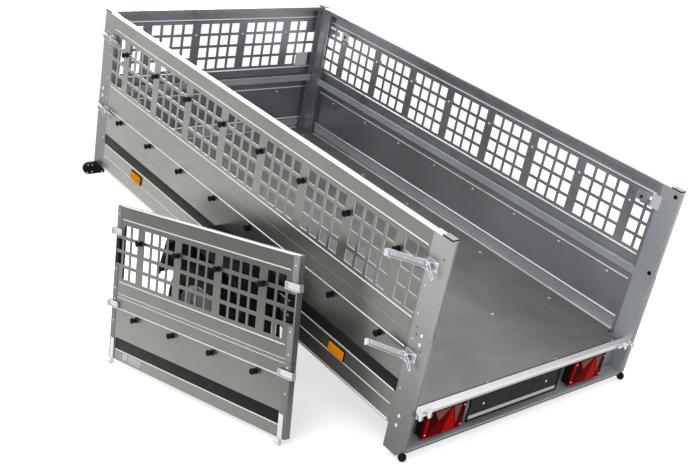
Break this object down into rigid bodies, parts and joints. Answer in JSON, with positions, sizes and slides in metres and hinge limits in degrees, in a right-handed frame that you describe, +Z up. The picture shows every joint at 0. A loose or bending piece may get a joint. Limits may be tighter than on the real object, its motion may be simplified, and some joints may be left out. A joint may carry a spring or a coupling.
{
  "type": "single-axle tipping box trailer",
  "caption": "Light single-axle box trailer of folded galvanised steel with mesh sides, box tipped back, drawbar on its jockey wheel and the lifted-off tailgate leaning at its side.",
  "frame": {"origin": "middle of the whole trailer's box on the floor that it stands on", "axes": "+Y forward in the travelling direction, +X to the right, +Z up"},
  "size_m": [1.8425, 3.5625, 1.5636],
  "materials": {
    "galvanised": "hot-dip zinc on folded sheet, fine satin grain with soft streaks",
    "bright_zinc": "bright zinc plate, lightly brushed",
    "floor_ply": "phenolic-faced plywood, smooth dark grey film",
    "black_plastic": "moulded black plastic",
    "red_lens": "moulded red lens plastic",
    "amber_lens": "moulded amber lens plastic",
    "tyre_rubber": "black rubber",
    "wheel_silver": "silver wheel enamel",
    "black_steel": "black enamel on steel"
  },
  "bodies": {
    "box": {"cross_members": "galvanised", "long_rails": "galvanised", "floor_board": "floor_ply", "floor_angles": "bright_zinc", "side_board_left": "galvanised", "side_board_right": "galvanised", "front_board": "galvanised", "mesh_side_left": "galvanised", "mesh_side_right": "galvanised", "mesh_front": "galvanised", "corner_post_front_left": "galvanised", "corner_post_front_right": "galvanised", "corner_post_rear_left": "galvanised", "corner_post_rear_right": "galvanised", "post_caps": "black_plastic", "post_feet": "black_plastic", "tie_knobs": "black_plastic", "rear_sill": "galvanised", "sill_brackets": "bright_zinc", "gate_pins": "bright_zinc", "light_bar": "galvanised", "tail_lamp_left": "red_lens", "tail_lamp_right": "red_lens", "number_plate_board": "black_plastic", "side_reflectors": "amber_lens", "position_lamps": "black_plastic", "rear_latches": "bright_zinc", "front_latches": "bright_zinc", "mudguard_left": "black_plastic", "mudguard_right": "black_plastic", "axle_beam": "galvanised", "axle_mounts": "galvanised", "drawbar_hinge": "galvanised", "drawbar_catch": "galvanised"},
    "wheel_left": {"tyre_left": "tyre_rubber", "rim_left": "wheel_silver", "hub_left": "black_steel"},
    "wheel_right": {"tyre_right": "tyre_rubber", "rim_right": "wheel_silver", "hub_right": "black_steel"},
    "drawbar": {"drawbar_tube": "galvanised", "coupling_head": "black_steel", "jockey_tube": "bright_zinc", "jockey_clamp": "black_steel"},
    "jockey_leg": {"jockey_stem": "bright_zinc"},
    "jockey_swivel": {"jockey_fork": "bright_zinc"},
    "jockey_roller": {"jockey_wheel": "tyre_rubber"},
    "tailgate": {"gate_board": "galvanised", "gate_mesh": "galvanised", "gate_catches": "bright_zinc", "gate_hinges": "bright_zinc", "gate_knobs": "black_plastic"}
  },
  "joints": [
    {"name": "wheel_left_spin", "type": "hinge", "parent": "box", "child": "wheel_left", "pos_m": [-0.68212, -0.46749, 0.28], "axis": [1, 0, 0], "continuous": true},
    {"name": "wheel_right_spin", "type": "hinge", "parent": "box", "child": "wheel_right", "pos_m": [0.84388, -0.46749, 0.28], "axis": [1, 0, 0], "continuous": true},
    {"name": "drawbar_tilt", "type": "hinge", "parent": "box", "child": "drawbar", "pos_m": [0.08088, -0.05724, 0.51536], "axis": [1, 0, 0], "range_deg": [0, 15.8]},
    {"name": "jockey_jack", "type": "slide", "parent": "drawbar", "child": "jockey_leg", "axis": [0, -0.0104, 0.9999], "range_m": [0, 0.17]},
    {"name": "jockey_caster", "type": "hinge", "parent": "jockey_leg", "child": "jockey_swivel", "pos_m": [0.14688, 1.19582, 0.22628], "axis": [0, -0.0104, 0.9999], "continuous": true},
    {"name": "jockey_wheel_spin", "type": "hinge", "parent": "jockey_swivel", "child": "jockey_roller", "pos_m": [0.14688, 1.16913, 0.1], "axis": [1, 0, 0], "continuous": true},
    {"name": "tailgate_lift", "type": "slide", "parent": "box", "child": "tailgate", "axis": [0, 0, 1], "range_m": [0, 0.3]}
  ]
}
